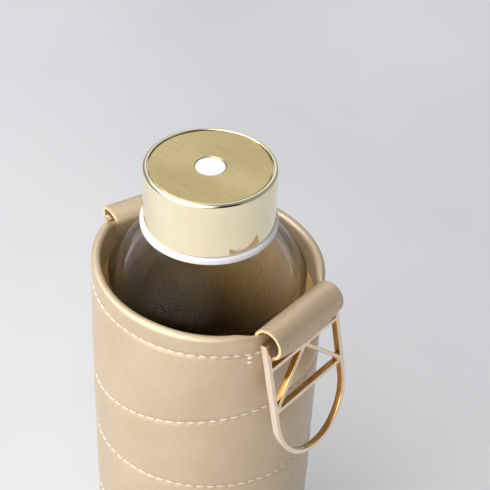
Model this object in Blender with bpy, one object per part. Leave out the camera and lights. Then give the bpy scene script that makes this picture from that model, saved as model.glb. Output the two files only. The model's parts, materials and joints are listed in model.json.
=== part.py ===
"""Glass water bottle with a screw cap, in a quilted leather sleeve with two swinging lattice handles.

Metres, +Z up. The origin is the middle of the underside. The front handle hangs on the +X side, and the
back handle a little less than half a turn from it.
"""

from math import asin, cos, degrees, hypot, pi, radians, sin

import bmesh
import bpy
from mathutils import Matrix, Vector

GAP = 0.0003
SEGMENTS = 40

# Sleeve
SLEEVE_RADIUS = 0.045
SLEEVE_HEIGHT = 0.200
LEATHER = 0.0011
HEM_INNER_RADIUS = 0.0414
HEM_THICKNESS = 0.0008
HEM_DEPTH = 0.014
PADDING_INNER_RADIUS = 0.0425
LINING_INNER_RADIUS = 0.0415
BASE_COVER = 0.0016
BASE_BOARD = 0.0020
BASE_PAD = 0.0012
STITCH_BOTTOM = 0.010
STITCH_PITCH = 0.036
STITCH_NAMES = (
    "base_stitching",
    "lower_quilt_stitching",
    "middle_quilt_stitching",
    "upper_quilt_stitching",
    "shoulder_quilt_stitching",
    "hem_stitching",
)
GROOVE_FLOOR_RADIUS = 0.0441
GROOVE_HALF_HEIGHT = 0.0006
THREAD_INNER_RADIUS = 0.04445
THREAD_HALF_HEIGHT = 0.00025
LIP_HEIGHT = 0.0013
LIP_ANGLES = (0, 40, 75, 105, 140, 180)
FOLD_ROOM = 0.0001

# Where the handles hang, as angles round the sleeve from +X
HANDLE_ANGLES = {"front": 0.0, "back": radians(162)}

# The wall is pressed flat where a handle loop is sewn on
FLAT_X = 0.0423
FLAT_FROM = 0.176
ROUND_BELOW = 0.150
BEND_HEIGHTS = [ROUND_BELOW + (FLAT_FROM - ROUND_BELOW) * i / 4 for i in range(5)]

# Handle loops and handles, drawn as they hang on the +X side
BAR_X = 0.0450
BAR_Z = 0.1942
LOOP_RADIUS = 0.0063
LOOP_LEATHER = 0.0012
LOOP_HALF_LENGTH = 0.0186
LOOP_TAIL_BOTTOM = 0.178
HANDLE_TILT = radians(12)
HANDLE_DEPTH = 0.0028
RING_HALF_WIDTH = 0.0200
RING_ARC_START = 0.0370
RING_ARC_HEIGHT = 0.0209
RING_BAR = 0.0020
UPPER_CROSS_BAR = 0.0105
LOWER_CROSS_BAR = 0.0297
CROSS_BAR = 0.0018
DIAGONAL_BAR = 0.0016
BARTACK_ANGLE = radians(28.5)
BARTACK_TOP = 0.1886
BARTACK_SIZE = (0.0006, 0.0013, 0.0050)

# Glass bottle
GLASS_RADIUS = 0.0382
GLASS_WALL = 0.0022
GLASS_BOTTOM = BASE_COVER + BASE_BOARD + BASE_PAD + 3 * GAP
SHOULDER_BOTTOM = 0.1940
NECK_BOTTOM = 0.2145
NECK_RADIUS = 0.0199
NECK_TOP = 0.2369
SHOULDER_POWER = 2 / 1.25
THREAD_PITCH = 0.005
THREAD_TURNS = 1.5
NECK_THREAD_CREST = 0.0214
NECK_THREAD_START = 0.2225

# Cap
CAP_RADIUS = 0.0248
CAP_BOTTOM = 0.2190
CAP_TOP = 0.2420
CAP_WALL = 0.0008
CAP_WEB_TOP = 0.2406
CAP_EDGE_ROUND = 0.0013
CAP_BEAD_INNER = 0.02295
PLATE_RADIUS = 0.02265
PLATE_THICKNESS = 0.0007
INLAY_RADIUS = 0.0056
LINER_FLANGE_RADIUS = 0.0259
LINER_FLANGE_BOTTOM = 0.2161
LINER_BORE = 0.0220
LINER_WEB = 0.0009
LINER_THREAD_CREST = 0.0206
SEAL_RADIUS = 0.0205
SEAL_THICKNESS = 0.0011

# Screw threads of the neck and of the liner
RIDGE_ROOT_HALF = 0.0011
RIDGE_CREST_HALF = 0.0005
RIDGE_STEPS_PER_TURN = 36
RIDGE_FADE_STEPS = 3


def clear_scene():
    for obj in list(bpy.data.objects):
        bpy.data.objects.remove(obj, do_unlink=True)


def material(name, colour, roughness, metallic=0.0, transmission=0.0):
    made = bpy.data.materials.get(name)
    if made:
        return made
    made = bpy.data.materials.new(name)
    made.use_nodes = True
    shader = made.node_tree.nodes["Principled BSDF"]
    shader.inputs["Base Color"].default_value = (*colour, 1.0)
    shader.inputs["Roughness"].default_value = roughness
    shader.inputs["Metallic"].default_value = metallic
    shader.inputs["Transmission Weight"].default_value = transmission
    made.diffuse_color = (*colour, 1.0)
    return made


def champagne_leather():
    return material("champagne_leather", (0.66, 0.53, 0.38), 0.45, 0.35)


def dark_lining():
    return material("dark_lining", (0.10, 0.06, 0.02), 0.85)


def board():
    return material("grey_board", (0.45, 0.43, 0.40), 0.9)


def white_foam():
    return material("foam", (0.80, 0.78, 0.72), 0.95)


def thread():
    return material("cream_thread", (0.86, 0.80, 0.70), 0.7)


def clear_glass():
    return material("clear_glass", (0.95, 0.97, 0.96), 0.02, 0.0, 1.0)


def polished_gold():
    return material("polished_gold", (0.86, 0.72, 0.46), 0.08, 1.0)


def brushed_gold():
    return material("brushed_gold", (0.55, 0.46, 0.24), 0.35, 1.0)


def rose_gold():
    return material("rose_gold", (0.88, 0.66, 0.42), 0.14, 1.0)


def white_plastic():
    return material("white_plastic", (0.88, 0.88, 0.90), 0.35)


def silicone():
    return material("silicone", (0.82, 0.84, 0.84), 0.6)


def finish_mesh(name, bm, surface, smooth_angle=radians(35)):
    """Turns a bmesh into an object with outward faces and one material."""
    bmesh.ops.recalc_face_normals(bm, faces=bm.faces[:])
    mesh = bpy.data.meshes.new(name)
    bm.to_mesh(mesh)
    bm.free()
    mesh.materials.append(surface)
    mesh.shade_smooth()
    mesh.set_sharp_from_angle(angle=smooth_angle)
    obj = bpy.data.objects.new(name, mesh)
    bpy.context.scene.collection.objects.link(obj)
    return obj


def arc(centre_r, centre_z, radius, start, end, steps):
    """Points of an arc in a (radius, height) section; the angles are in degrees."""
    angles = [radians(start + (end - start) * i / steps) for i in range(steps + 1)]
    return [(centre_r + radius * cos(a), centre_z + radius * sin(a)) for a in angles]


def turned(name, outline, surface, segments=SEGMENTS):
    """Spins a (radius, height) section about Z, closing it first unless it starts and ends on the axis."""
    bm = bmesh.new()
    points = [bm.verts.new((r, 0.0, z)) for r, z in outline]
    edges = [bm.edges.new(pair) for pair in zip(points, points[1:])]
    if outline[0][0] > 0 or outline[-1][0] > 0:
        edges.append(bm.edges.new((points[-1], points[0])))
    bmesh.ops.spin(
        bm,
        geom=points + edges,
        cent=(0, 0, 0),
        axis=(0, 0, 1),
        angle=2 * pi,
        steps=segments,
        use_merge=True,
    )
    bmesh.ops.remove_doubles(bm, verts=bm.verts[:], dist=1e-6)
    return finish_mesh(name, bm, surface)


def flat_limit(z):
    """How far out, towards a handle, the outside of the sleeve wall may reach at height z."""
    blend = min(1.0, max(0.0, (z - ROUND_BELOW) / (FLAT_FROM - ROUND_BELOW)))
    blend = blend * blend * (3 - 2 * blend)
    return SLEEVE_RADIUS + (FLAT_X - SLEEVE_RADIUS) * blend


def press_flat(obj):
    """Presses a turned layer of the wall flat at both loops, keeping its distance from the outside."""
    for vertex in obj.data.vertices:
        x, y, z = vertex.co
        limit = flat_limit(z) - (SLEEVE_RADIUS - hypot(x, y))
        for angle in HANDLE_ANGLES.values():
            outward = Vector((cos(angle), sin(angle), 0.0))
            vertex.co -= outward * max(0.0, vertex.co.dot(outward) - limit)
    split_like_its_neighbours(obj.data)
    return obj


def split_like_its_neighbours(mesh):
    """Splits each twisted face along its shorter diagonal, so that neighbouring layers keep their gap."""
    bm = bmesh.new()
    bm.from_mesh(mesh)
    bmesh.ops.triangulate(bm, faces=bm.faces[:], quad_method="SHORT_EDGE")
    bm.to_mesh(mesh)
    bm.free()


def stitch_heights():
    return [STITCH_BOTTOM + STITCH_PITCH * i for i in range(len(STITCH_NAMES))]


def make_sleeve_outer():
    """The leather wall, with a groove for each row of stitching and the top edge turned in as a hem."""
    r = SLEEVE_RADIUS
    inner = r - LEATHER
    hem_outer = HEM_INNER_RADIUS + HEM_THICKNESS
    outline = [(inner, 0.0), (r - 0.0004, 0.0), (r, 0.0004)]
    for z in stitch_heights():
        outline += [
            (r, z - GROOVE_HALF_HEIGHT - GAP),
            (GROOVE_FLOOR_RADIUS, z - GROOVE_HALF_HEIGHT),
            (GROOVE_FLOOR_RADIUS, z + GROOVE_HALF_HEIGHT),
            (r, z + GROOVE_HALF_HEIGHT + GAP),
        ]
    outline += hem_lip()
    hem_bottom = SLEEVE_HEIGHT - HEM_DEPTH
    hem_roof = SLEEVE_HEIGHT - LEATHER - FOLD_ROOM
    outline += [
        (HEM_INNER_RADIUS, hem_bottom),
        (hem_outer, hem_bottom),
        (hem_outer, hem_roof),
        (inner, hem_roof),
    ]
    outline += [(inner, height) for height in reversed(BEND_HEIGHTS)]
    outline = with_bend_heights(outline, r)
    return press_flat(turned("sleeve_outer", outline, champagne_leather()))


def hem_lip():
    """Section of the rounded top edge, from the outside over to the turned-in hem."""
    half = (SLEEVE_RADIUS - HEM_INNER_RADIUS) / 2
    centre_z = SLEEVE_HEIGHT - LIP_HEIGHT
    stretch = LIP_HEIGHT / sin(radians(LIP_ANGLES[2]))
    return [
        (
            SLEEVE_RADIUS - half + half * cos(radians(a)),
            centre_z + stretch * sin(radians(a)),
        )
        for a in LIP_ANGLES
    ]


def with_bend_heights(outline, radius):
    """Adds points on the outside of the wall at the heights where it starts to bend flat."""
    result = []
    for point, following in zip(outline, outline[1:] + outline[:1]):
        result.append(point)
        if point[0] == following[0] == radius:
            low, high = point[1] + 0.001, following[1] - 0.001
            result += [(radius, h) for h in BEND_HEIGHTS if low < h < high]
    return result


def tube_outline(outer, inner, bottom, top):
    """Section of a straight layer of the wall, with points where it bends flat."""
    up = [bottom, *BEND_HEIGHTS, top]
    return [(outer, z) for z in up] + [(inner, z) for z in reversed(up)]


def make_sleeve_padding():
    bottom = BASE_COVER + BASE_BOARD + 2 * GAP
    top = SLEEVE_HEIGHT - LEATHER - 2 * FOLD_ROOM - GAP
    outline = tube_outline(
        SLEEVE_RADIUS - LEATHER - GAP, PADDING_INNER_RADIUS, bottom, top
    )
    return press_flat(turned("sleeve_padding", outline, white_foam()))


def make_sleeve_lining():
    bottom = BASE_COVER + BASE_BOARD + 2 * GAP
    top = SLEEVE_HEIGHT - HEM_DEPTH - GAP
    outline = tube_outline(
        PADDING_INNER_RADIUS - GAP, LINING_INNER_RADIUS, bottom, top
    )
    return press_flat(turned("sleeve_lining", outline, dark_lining()))


def disc_outline(radius, bottom, thickness, edge=0.0003):
    """Section of a flat disc with chamfered edges."""
    top = bottom + thickness
    return [
        (0.0, bottom),
        (radius - edge, bottom),
        (radius, bottom + edge),
        (radius, top - edge),
        (radius - edge, top),
        (0.0, top),
    ]


def make_base():
    """Leather base cover, stiffening board and the soft pad that the glass stands on."""
    wall_inside = SLEEVE_RADIUS - LEATHER
    board_bottom = BASE_COVER + GAP
    pad_bottom = board_bottom + BASE_BOARD + GAP
    turned(
        "base_cover",
        disc_outline(wall_inside - GAP, 0.0, BASE_COVER),
        champagne_leather(),
    )
    turned(
        "base_stiffener",
        disc_outline(wall_inside - 0.0005, board_bottom, BASE_BOARD),
        board(),
    )
    turned(
        "base_pad",
        disc_outline(LINING_INNER_RADIUS - GAP, pad_bottom, BASE_PAD),
        dark_lining(),
    )


def make_stitching():
    """One endless line of thread in each groove of the wall."""
    for name, z in zip(STITCH_NAMES, stitch_heights()):
        low, high = z - THREAD_HALF_HEIGHT, z + THREAD_HALF_HEIGHT
        outline = [
            (THREAD_INNER_RADIUS, low),
            (SLEEVE_RADIUS, low),
            (SLEEVE_RADIUS, high),
            (THREAD_INNER_RADIUS, high),
        ]
        press_flat(turned(name, outline, thread()))


def loop_outline():
    """Side view of a handle loop: (x, z) points round the leather, over the bar and down to the tail."""
    wall_x = FLAT_X + GAP
    inner_radius = LOOP_RADIUS - LOOP_LEATHER
    reach = BAR_X - wall_x
    tail_x = wall_x + LOOP_LEATHER
    steps = 14
    top_outer = 90 + degrees(asin(reach / LOOP_RADIUS))
    top_inner = 90 + degrees(asin(reach / inner_radius))
    tail_angle = -90 - degrees(asin((BAR_X - tail_x) / LOOP_RADIUS))
    outer = arc(BAR_X, BAR_Z, LOOP_RADIUS, top_outer, tail_angle, steps)
    inner = arc(BAR_X, BAR_Z, inner_radius, -top_inner, top_inner, steps)
    return outer + [(tail_x, LOOP_TAIL_BOTTOM), (wall_x, LOOP_TAIL_BOTTOM)] + inner


def make_loop(name, angle):
    """A leather tab folded over the handle's top bar, at an angle round the sleeve."""
    bm = bmesh.new()
    ring = [
        bm.verts.new((x, -LOOP_HALF_LENGTH, z)) for x, z in loop_outline()
    ]
    face = bm.faces.new(ring)
    made = bmesh.ops.extrude_face_region(bm, geom=[face])
    moved = [v for v in made["geom"] if isinstance(v, bmesh.types.BMVert)]
    bmesh.ops.translate(bm, verts=moved, vec=(0, 2 * LOOP_HALF_LENGTH, 0))
    obj = finish_mesh(name, bm, champagne_leather())
    obj.rotation_euler.z = angle
    return obj


def make_bartack(name, angle):
    """The short dense stitch that locks the hem beside one end of a loop."""
    depth, width, height = BARTACK_SIZE
    bm = bmesh.new()
    bmesh.ops.create_cube(bm, size=1.0)
    bmesh.ops.scale(bm, vec=(depth, width, height), verts=bm.verts[:])
    bmesh.ops.bevel(
        bm, geom=bm.edges[:], offset=0.00015, segments=1, affect="EDGES"
    )
    obj = finish_mesh(name, bm, thread())
    radius = SLEEVE_RADIUS + GAP + depth / 2
    obj.location = (
        radius * cos(angle),
        radius * sin(angle),
        BARTACK_TOP - height / 2,
    )
    obj.rotation_euler.z = angle
    return obj


def inset(corners, margins):
    """Corners of an anticlockwise polygon after each edge has moved inwards by its own margin."""
    lines = []
    for (a, b), margin in zip(zip(corners, corners[1:] + corners[:1]), margins):
        along = (Vector(b) - Vector(a)).normalized()
        inward = Vector((-along.y, along.x))
        lines.append((Vector(a) + inward * margin, along))
    result = []
    for (p, d), (q, e) in zip(lines[-1:] + lines[:-1], lines):
        across = d.x * e.y - d.y * e.x
        offset = q - p
        t = (offset.x * e.y - offset.y * e.x) / across
        result.append(tuple(p + d * t))
    return result


def u_shape(half_width, top, arc_height, steps):
    """Anticlockwise outline that is straight at the top and sides and round at the bottom."""
    low = [
        (
            -half_width * cos(pi * i / steps),
            -RING_ARC_START - arc_height * sin(pi * i / steps),
        )
        for i in range(steps + 1)
    ]
    return low + [(half_width, top), (-half_width, top)]


def handle_outlines():
    """The outside and the five windows of the flat handle, with the bar's middle at (0, 0) and -Y down."""
    half, bar, cross = RING_HALF_WIDTH, RING_BAR / 2, CROSS_BAR / 2
    diagonal = DIAGONAL_BAR / 2
    upper, lower = -UPPER_CROSS_BAR, -LOWER_CROSS_BAR
    outside = u_shape(half + bar, bar, RING_ARC_HEIGHT + bar, 24)
    top_window = inset(
        [(-half, upper), (half, upper), (half, 0.0), (-half, 0.0)],
        [cross, bar, bar, bar],
    )
    left = inset(
        [(-half, upper), (-half, lower), (0.0, upper)], [bar, diagonal, cross]
    )
    right = [(-x, y) for x, y in reversed(left)]
    middle = inset(
        [(0.0, upper), (-half, lower), (half, lower)], [diagonal, cross, diagonal]
    )
    finger = u_shape(half - bar, lower - cross, RING_ARC_HEIGHT - bar, 20)
    return [outside, top_window, left, right, middle, finger]


def make_handle(name, angle):
    """A cast lattice handle as a flat curve with windows, hanging from the middle of its top bar."""
    curve = bpy.data.curves.new(name, "CURVE")
    curve.dimensions = "2D"
    curve.fill_mode = "BOTH"
    curve.extrude = HANDLE_DEPTH / 2
    for outline in handle_outlines():
        spline = curve.splines.new("POLY")
        spline.points.add(len(outline) - 1)
        for point, (u, v) in zip(spline.points, outline):
            point.co = (u, v, 0.0, 1.0)
        spline.use_cyclic_u = True
    curve.materials.append(rose_gold())
    obj = bpy.data.objects.new(name, curve)
    bpy.context.scene.collection.objects.link(obj)
    stand_up = Matrix(((0, 0, 1), (1, 0, 0), (0, 1, 0))).to_4x4()
    tilt = Matrix.Rotation(-HANDLE_TILT, 4, "Y")
    turn = Matrix.Rotation(angle, 4, "Z")
    hang = Matrix.Translation((BAR_X, 0.0, BAR_Z))
    obj.matrix_world = turn @ hang @ tilt @ stand_up
    return obj


def shoulder(radius, neck, bottom, top, steps=9):
    """Section of the shoulder, from the body up to the neck."""
    return [
        (
            neck + (radius - neck) * cos(pi / 2 * i / steps) ** SHOULDER_POWER,
            bottom + (top - bottom) * sin(pi / 2 * i / steps) ** SHOULDER_POWER,
        )
        for i in range(1, steps)
    ]


def make_ridge(name, root, crest, start_z):
    """A helical thread ridge, whose root is buried in the wall and whose ends run out into it."""
    steps = int(THREAD_TURNS * RIDGE_STEPS_PER_TURN)
    bm = bmesh.new()
    rings = []
    for i in range(steps + 1):
        turn = i / RIDGE_STEPS_PER_TURN
        angle = 2 * pi * turn
        rise = start_z + THREAD_PITCH * turn
        share = min(1.0, min(i, steps - i) / RIDGE_FADE_STEPS)
        tip = root + (crest - root) * (0.15 + 0.85 * share)
        section = (
            (root, -RIDGE_ROOT_HALF),
            (tip, -RIDGE_CREST_HALF),
            (tip, RIDGE_CREST_HALF),
            (root, RIDGE_ROOT_HALF),
        )
        rings.append(
            [
                bm.verts.new((r * cos(angle), r * sin(angle), rise + z))
                for r, z in section
            ]
        )
    for low, high in zip(rings, rings[1:]):
        for k in range(4):
            bm.faces.new((low[k], low[k - 1], high[k - 1], high[k]))
    bm.faces.new(rings[0])
    bm.faces.new(reversed(rings[-1]))
    obj = finish_mesh(name, bm, clear_glass())
    obj.hide_render = True
    obj.display_type = "WIRE"
    return obj


def join(target, extra):
    """Unites a helper solid with a part."""
    modifier = target.modifiers.new("join_" + extra.name, "BOOLEAN")
    modifier.operation = "UNION"
    modifier.solver = "EXACT"
    modifier.object = extra


def make_glass_bottle():
    r, wall, floor = GLASS_RADIUS, GLASS_WALL, GLASS_BOTTOM
    corner = 0.0048
    inside_corner = 0.0040
    inside_floor = floor + 0.0048
    inner = r - wall
    bore = NECK_RADIUS - wall
    lip = 0.0006
    outline = [(0.0, floor + 0.0020), (0.026, floor + 0.0012), (0.030, floor)]
    outline += arc(r - corner, floor + corner, corner, -90, 0, 4)
    outline += [(r, SHOULDER_BOTTOM)]
    outline += shoulder(r, NECK_RADIUS, SHOULDER_BOTTOM, NECK_BOTTOM)
    outline += [
        (NECK_RADIUS, NECK_BOTTOM),
        (NECK_RADIUS, NECK_TOP - lip),
        (NECK_RADIUS - lip, NECK_TOP),
        (bore + lip, NECK_TOP),
        (bore, NECK_TOP - lip),
        (bore, NECK_BOTTOM - wall),
    ]
    inside = shoulder(inner, bore, SHOULDER_BOTTOM - wall / 2, NECK_BOTTOM - wall)
    outline += list(reversed(inside)) + [(inner, SHOULDER_BOTTOM - wall / 2)]
    outline += arc(
        inner - inside_corner, inside_floor + inside_corner, inside_corner, 0, -90, 3
    )
    outline += [(0.0, inside_floor + 0.0010)]
    bottle = turned("glass_bottle", outline, clear_glass())
    ridge = make_ridge(
        "neck_thread", NECK_RADIUS - 0.0010, NECK_THREAD_CREST, NECK_THREAD_START
    )
    join(bottle, ridge)
    return bottle


def make_cap_shell():
    r, edge = CAP_RADIUS, CAP_EDGE_ROUND
    inner = r - CAP_WALL
    web_bottom = CAP_WEB_TOP - CAP_WALL
    outline = [(0.0, CAP_WEB_TOP), (CAP_BEAD_INNER, CAP_WEB_TOP)]
    outline += [(CAP_BEAD_INNER, CAP_TOP - 0.0003), (CAP_BEAD_INNER + 0.0003, CAP_TOP)]
    outline += arc(r - edge, CAP_TOP - edge, edge, 90, 0, 5)
    outline += [(r, CAP_BOTTOM + 0.0002), (r - 0.0002, CAP_BOTTOM)]
    outline += [(inner, CAP_BOTTOM), (inner, web_bottom), (0.0, web_bottom)]
    return turned("cap_shell", outline, polished_gold())


def make_cap_top():
    """Brushed plate in the recess of the cap, and the plain round inlay in its middle."""
    bottom = CAP_WEB_TOP + GAP
    top = bottom + PLATE_THICKNESS
    hole = INLAY_RADIUS + GAP
    edge = 0.0002
    outline = [
        (hole, bottom),
        (PLATE_RADIUS, bottom),
        (PLATE_RADIUS, top - edge),
        (PLATE_RADIUS - edge, top),
        (hole, top),
    ]
    turned("cap_top_plate", outline, brushed_gold())
    turned(
        "cap_round_inlay",
        disc_outline(INLAY_RADIUS, bottom, PLATE_THICKNESS + 0.0001, 0.00015),
        white_plastic(),
        32,
    )


def make_cap_liner():
    """White threaded liner, whose flange shows as a ring under the shell."""
    web_top = CAP_WEB_TOP - CAP_WALL - GAP
    web_bottom = web_top - LINER_WEB
    outer = CAP_RADIUS - CAP_WALL - GAP
    flange = LINER_FLANGE_RADIUS
    flange_top = CAP_BOTTOM - GAP
    edge = 0.0004
    outline = [(0.0, web_top), (outer, web_top), (outer, flange_top)]
    outline += [(flange - edge, flange_top), (flange, flange_top - edge)]
    outline += [(flange, LINER_FLANGE_BOTTOM + edge), (flange - edge, LINER_FLANGE_BOTTOM)]
    outline += [(LINER_BORE, LINER_FLANGE_BOTTOM), (LINER_BORE, web_bottom)]
    outline += [(0.0, web_bottom)]
    liner = turned("cap_liner", outline, white_plastic())
    ridge = make_ridge(
        "liner_thread",
        LINER_BORE + 0.0008,
        LINER_THREAD_CREST,
        NECK_THREAD_START - THREAD_PITCH / 2,
    )
    join(liner, ridge)
    return liner


def make_cap_seal():
    """Silicone disc that the cap presses on the mouth of the glass."""
    outline = disc_outline(SEAL_RADIUS, NECK_TOP + GAP, SEAL_THICKNESS)
    return turned("cap_seal", outline, silicone())


def main():
    clear_scene()
    make_sleeve_outer()
    make_sleeve_padding()
    make_sleeve_lining()
    make_base()
    make_stitching()
    make_glass_bottle()
    make_cap_seal()
    make_cap_liner()
    make_cap_shell()
    make_cap_top()
    for place, angle in HANDLE_ANGLES.items():
        make_loop(f"{place}_handle_loop", angle)
        make_handle(f"{place}_handle", angle)
        make_bartack(f"{place}_left_bartack", angle - BARTACK_ANGLE)
        make_bartack(f"{place}_right_bartack", angle + BARTACK_ANGLE)


main()
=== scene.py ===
"""Looks of the glass water bottle in its quilted leather sleeve.

Metres, in the frame of the CAD model.
"""

import json
from math import acos, asin, atan2, cos, hypot, pi, radians, sin, sqrt

import bmesh
import bpy
import numpy as np
from mathutils import Matrix, Vector


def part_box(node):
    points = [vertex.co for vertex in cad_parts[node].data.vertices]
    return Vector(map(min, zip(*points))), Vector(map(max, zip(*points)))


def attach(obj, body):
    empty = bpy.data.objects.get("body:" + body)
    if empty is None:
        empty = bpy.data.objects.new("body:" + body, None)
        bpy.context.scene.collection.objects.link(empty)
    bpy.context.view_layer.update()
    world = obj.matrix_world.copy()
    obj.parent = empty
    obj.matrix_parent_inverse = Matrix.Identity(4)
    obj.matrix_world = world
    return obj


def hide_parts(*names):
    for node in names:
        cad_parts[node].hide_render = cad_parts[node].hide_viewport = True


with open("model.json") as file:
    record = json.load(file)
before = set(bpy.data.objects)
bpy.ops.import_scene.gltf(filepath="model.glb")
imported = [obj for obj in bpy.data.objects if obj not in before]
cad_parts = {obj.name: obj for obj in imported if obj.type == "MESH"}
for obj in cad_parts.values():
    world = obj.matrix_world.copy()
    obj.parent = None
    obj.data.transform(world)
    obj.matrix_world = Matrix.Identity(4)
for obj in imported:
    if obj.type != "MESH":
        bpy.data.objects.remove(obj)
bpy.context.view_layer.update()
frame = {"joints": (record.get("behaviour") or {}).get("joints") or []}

TURN = 2 * pi
TINY = 1e-6


# -------- places read from the frame


def joint_point(name):
    """A point on the axis of a joint."""
    return Vector(next(j for j in frame["joints"] if j["name"] == name)["pos_m"])


def height_of(node):
    """The middle height of a node."""
    low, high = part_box(node)
    return (low.z + high.z) / 2


PLACES = ("front", "back")
BAR_POINTS = {place: joint_point(place + "_handle_swing") for place in PLACES}
HANDLE_ANGLES = {place: atan2(p.y, p.x) for place, p in BAR_POINTS.items()}
BAR_X = hypot(BAR_POINTS["front"].x, BAR_POINTS["front"].y)
BAR_Z = BAR_POINTS["front"].z
SLEEVE_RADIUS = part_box("sleeve_outer")[1].y
SLEEVE_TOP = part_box("sleeve_outer")[1].z
STITCH_ROWS = (
    "base_stitching",
    "lower_quilt_stitching",
    "middle_quilt_stitching",
    "upper_quilt_stitching",
    "shoulder_quilt_stitching",
    "hem_stitching",
)

# -------- sleeve sizes

LEATHER = 0.0011
LAYER_GAP = 0.0002
WALL_THICKNESS = 0.0036
LINING_OUTER_DEPTH = 0.0028
LINING_INNER_DEPTH = 0.0035
FOAM_TOP_DEPTH = 0.0026
HEM_THICKNESS = 0.0008
HEM_DEPTH = 0.014
HEM_EDGE = 0.0003
LIP_HEIGHT = 0.0018
LIP_STEPS = 14
# Height and depth of each ring of the rounded bottom edge
BOTTOM_EDGE = ((0.0, 0.0004), (0.0002, 0.0001))
STITCHES_PER_ROW = 68
COLUMNS_PER_STITCH = 6
WALL_COLUMNS = STITCHES_PER_ROW * COLUMNS_PER_STITCH
LAYER_RINGS = 48
# Rings of the leather: near the bottom, away from a seam, and in the band between two seams
BOTTOM_RINGS = (0.0006, 0.0012, 0.0022)
SEAM_RINGS = (0.0, 0.0003, 0.0006, 0.0010, 0.0015, 0.0021, 0.0029, 0.0040, 0.0055, 0.0075)
BAND_RINGS = 8
LOWEST_RING = 0.0005
CLOSEST_RINGS = 0.0002

# The mouth is pulled oval, and its edge rises and falls
ROUND_BELOW = 0.150
OVAL_FROM = 0.195
MOUTH_RADIUS = 0.0444
MOUTH_OVAL = 0.0013
# Lift of the edge: level part, rise towards +X and towards +Y, and twice round the mouth
RIM_LIFT = (-0.0018, -0.0016, 0.0012, 0.0007)
RIM_LIFT_FROM = 0.182
# One crest on the edge: its direction, how far it reaches and its height
RIM_CREST = (radians(-78), radians(34), 0.0014)
# Each handle loop presses the wall flat behind it
FLAT_X = 0.0423
FLAT_FROM = 0.176
FLAT_CORNER = 0.0016
FLAT_RIM_LIFT = -0.0040
FLAT_SQUEEZE = 0.58
SQUEEZED_FROM = 0.188
FLAT_HALF_ANGLE = radians(25)
FLAT_END_ANGLE = radians(36)
LEAST_COSINE = 0.3

# Each row of stitching runs a little aslant: shift, then rise towards +X and towards +Y
ROW_SLANTS = {
    "base_stitching": (0.0, 0.0, 0.0),
    "lower_quilt_stitching": (0.0, 0.0010, 0.0012),
    "middle_quilt_stitching": (-0.0010, -0.0020, 0.0010),
    "upper_quilt_stitching": (-0.0035, 0.0014, -0.0043),
    "shoulder_quilt_stitching": (-0.0029, 0.0075, 0.0013),
    "hem_stitching": (-0.0004, 0.0, 0.0),
}
PUFF = 0.00030
PUFF_REACH = 0.0045
SEAM_DEPTH = 0.00040
SEAM_REACH = 0.0011
PUCKER_DEPTH = 0.00022
PUCKER_REACH = 0.0016
SWELL = 0.00012
# Waves of the swell: how many go round, radians for each metre of height, and phase
SWELL_WAVES = ((3, 60, 0.0), (7, -95, 1.3), (2, 210, 0.0))

# Stitches, and the knots beside a loop
THREAD_RADIUS = 0.00027
STITCH_HALF_LENGTH = 0.00162
STITCH_LEVEL = -SEAM_DEPTH + 0.6 * THREAD_RADIUS
STITCH_SINK = 1.6 * THREAD_RADIUS
STITCH_WOBBLE = 0.00006
WOBBLE_TURN = 12.9
STITCH_TIP = 0.25
STITCH_TWIST = 2.6
STITCH_PLY = 0.16
STITCH_STEPS = 14
STITCH_SIDES = 10
HEM_GAP = (radians(22), radians(23))
KNOT_OFFSETS = (0.0020, -0.0014)
KNOT_HALF_LENGTH = 0.0011
KNOT_RADIUS = 0.00055
KNOT_SINK = 0.0006
KNOT_LEVEL = 0.0001

# Handle loops
LOOP_RADIUS = 0.0057
LOOP_LEATHER = 0.00135
LOOP_HALF_LENGTH = 0.0186
LOOP_LEG_BOTTOM = 0.1898
LOOP_TAIL_BOTTOM = 0.178
LOOP_TAIL_GAP = 0.0003
LOOP_TAIL_NARROWING = 0.12
LOOP_EDGE_THINNING = 0.18
LOOP_EDGE_FROM = 0.985
# Steps of the leg up the wall, of the turn round the bar and of the tail down the wall
LOOP_LEG_STEPS = 5
LOOP_TURN_STEPS = 44
LOOP_TAIL_STEPS = 8
LOOP_NARROWING_STEPS = (40, 57)
LOOP_STATIONS = 61
LOOP_STATION_POWER = 1.15
# How far the leather bulges below the bar, and how far its top stands above the bar
LOOP_BELLIES = {"front": 0.0021, "back": 0.0008}
LOOP_HEIGHTS = {"front": 0.0057, "back": 0.0029}
LOOP_BELLY_ANGLE = radians(-60)
LOOP_BELLY_REACH = radians(36)
LOOP_BELLY_POWER = 0.7
LOOP_BELLY_END = radians(35)

# Handles
HANDLE_TILT = radians(12)
HANDLE_DEPTH = 0.0028
HANDLE_BEVEL = 0.00035
RING_HALF_WIDTH = 0.0200
RING_ARC_START = 0.0370
RING_ARC_HEIGHT = 0.0209
RING_BAR = 0.0020
UPPER_CROSS_BAR = 0.0105
LOWER_CROSS_BAR = 0.0297
CROSS_BAR = 0.0018
DIAGONAL_BAR = 0.0016
WINDOW_FILLET = 0.0004
OUTSIDE_STEPS = 72
FINGER_STEPS = 64
EDGE_ON_BELOW = 0.95
HANDLE_SMOOTH_ANGLE = radians(28)

# Longest stretches of a turned outline: up a wall, across a disc, in the cap and on a thread
WALL_STEP = 0.008
DISC_STEP = 0.004
CAP_STEP = 0.003
THREAD_STEP = 0.0003
INNERMOST = 0.003
INSIDE_CORNER = 0.001

# Glass
GLASS_COLUMNS = 160
GLASS_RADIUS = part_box("glass_bottle")[1].y
GLASS_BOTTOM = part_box("glass_bottle")[0].z
NECK_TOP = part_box("glass_bottle")[1].z
GLASS_WALL = 0.0022
GLASS_CORNER = 0.0048
GLASS_SIDE_FROM = 0.010
GLASS_LIP = 0.0008
INSIDE_FLOOR = 0.0048
INSIDE_FLOOR_CORNER = 0.0040
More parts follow.
